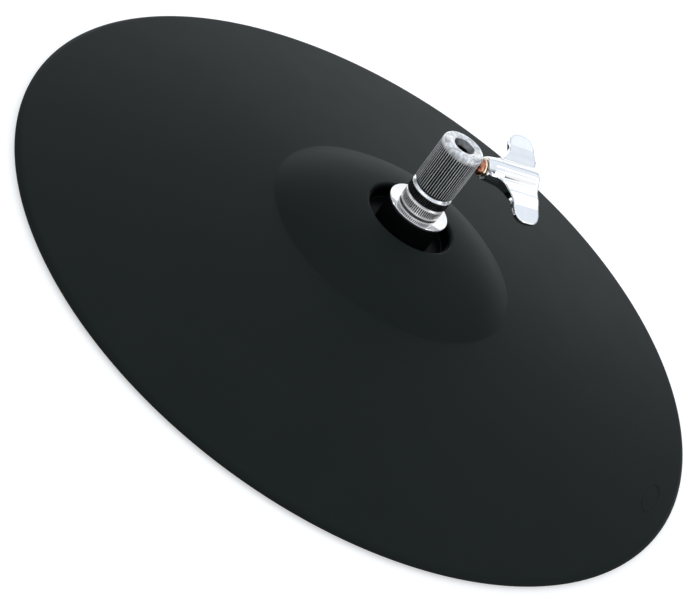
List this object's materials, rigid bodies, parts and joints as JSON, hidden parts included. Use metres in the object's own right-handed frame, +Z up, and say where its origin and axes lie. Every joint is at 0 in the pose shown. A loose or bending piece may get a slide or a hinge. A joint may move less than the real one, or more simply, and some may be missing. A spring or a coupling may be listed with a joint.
{
  "type": "electronic hi-hat pad with clutch",
  "caption": "Round black rubber electronic hi-hat cymbal pad with a raised bell and a chrome clutch with knurled nuts and a wing screw.",
  "frame": {"origin": "centre of the rim's rest plane, under the middle of the bell", "axes": "+Z up along the clutch axis; +X along the wing screw, outwards; the jack box is on the +Y side"},
  "size_m": [0.356, 0.356, 0.0849],
  "materials": {
    "rubber": "matt fine-grained moulded rubber",
    "foam": "closed-cell foam",
    "film": "polyester film with printed contacts",
    "plate_plastic": "textured moulding",
    "hub_plastic": "glossy black moulding",
    "base_plastic": "textured moulding",
    "box_plastic": "satin moulding",
    "screw_steel": "black-zinc steel",
    "piezo_brass": "sheet brass",
    "ceramic": "silvered ceramic",
    "lead_insulation": "soft PVC",
    "connector_plastic": "nylon",
    "board": "solder mask",
    "jack_plastic": "moulded",
    "nickel": "nickel plate",
    "chrome_barrel": "chrome plate, fluted",
    "chrome_nut": "chrome plate, fine straight knurl",
    "chrome_flange": "mirror polish",
    "chrome_wing": "mirror polish, cast form",
    "stud_brass": "bare copper-toned brass",
    "collar_brass": "turned brass",
    "cushion": "smooth dense rubber",
    "felt": "pressed black felt",
    "sleeve_nylon": "natural nylon"
  },
  "bodies": {
    "pad": {"rubber_skin": "rubber", "bell_switch_ring": "film", "bow_cushion": "foam", "edge_switch_ring": "film", "base_plate": "plate_plastic", "hub_cup": "hub_plastic", "hub_screws": "screw_steel", "bell_base": "base_plastic", "base_screws": "screw_steel", "piezo_foam": "foam", "piezo_disc": "piezo_brass", "piezo_ceramic": "ceramic", "piezo_leads": "lead_insulation", "lead_connector": "connector_plastic", "jack_housing": "box_plastic", "housing_screws": "screw_steel", "jack_board": "board", "bow_jack": "jack_plastic", "bell_jack": "jack_plastic", "jack_nuts": "nickel"},
    "rocker": {"centre_sleeve": "sleeve_nylon"},
    "cushion_seat": {"upper_cushion": "cushion"},
    "clutch": {"clutch_body": "chrome_barrel"},
    "flange": {"flange_washer": "chrome_flange"},
    "lower_nut": {"lower_lock_nut": "chrome_nut"},
    "upper_nut": {"upper_lock_nut": "chrome_nut"},
    "screw_tip": {"thrust_pad": "collar_brass"},
    "wing_screw": {"wing_stud": "stud_brass", "collar_ring": "collar_brass", "wing": "chrome_wing"},
    "lower_stack": {"lower_felt": "felt", "cup_washer": "chrome_flange"},
    "release_nut": {"bottom_nut": "chrome_nut"}
  },
  "joints": [
    {"name": "clutch_rock_x", "type": "hinge", "parent": "pad", "child": "rocker", "pos_m": [0, 0, 0.02825], "axis": [1, 0, 0], "range_deg": [-2, 2], "stiffness_Nm_per_rad": 2},
    {"name": "clutch_rock_y", "type": "hinge", "parent": "rocker", "child": "cushion_seat", "pos_m": [0, 0, 0.02825], "axis": [0, 1, 0], "range_deg": [-2, 2], "stiffness_Nm_per_rad": 2},
    {"name": "clutch_swivel", "type": "hinge", "parent": "cushion_seat", "child": "clutch", "pos_m": [0, 0, 0.03], "axis": [0, 0, 1], "continuous": true},
    {"name": "flange_travel", "type": "slide", "parent": "clutch", "child": "flange", "axis": [0, 0, 1], "range_m": [-0.0012, 0], "deforming": ["upper_cushion"]},
    {"name": "lower_nut_turn", "type": "hinge", "parent": "flange", "child": "lower_nut", "pos_m": [0, 0, 0.047], "axis": [0, 0, 1], "range_deg": [-288, 0]},
    {"name": "upper_nut_turn", "type": "hinge", "parent": "flange", "child": "upper_nut", "pos_m": [0, 0, 0.053], "axis": [0, 0, 1], "range_deg": [-288, 0]},
    {"name": "screw_travel", "type": "slide", "parent": "clutch", "child": "screw_tip", "axis": [1, 0, 0], "range_m": [-0.0005, 0.004]},
    {"name": "wing_turn", "type": "hinge", "parent": "screw_tip", "child": "wing_screw", "pos_m": [0.015, 0, 0.0748], "axis": [1, 0, 0], "range_deg": [-180, 1440]},
    {"name": "release_nut_travel", "type": "slide", "parent": "clutch", "child": "lower_stack", "axis": [0, 0, 1], "range_m": [-0.005, 0]},
    {"name": "release_nut_turn", "type": "hinge", "parent": "lower_stack", "child": "release_nut", "pos_m": [0, 0, 0.012], "axis": [0, 0, 1], "range_deg": [-1200, 0]}
  ],
  "couplings": [
    {"joint": "lower_nut_turn", "follows": "flange_travel", "rad_per_m": 4188.8},
    {"joint": "upper_nut_turn", "follows": "flange_travel", "rad_per_m": 4188.8},
    {"joint": "wing_turn", "follows": "screw_travel", "rad_per_m": 6283.2},
    {"joint": "release_nut_turn", "follows": "release_nut_travel", "rad_per_m": 4188.8}
  ]
}
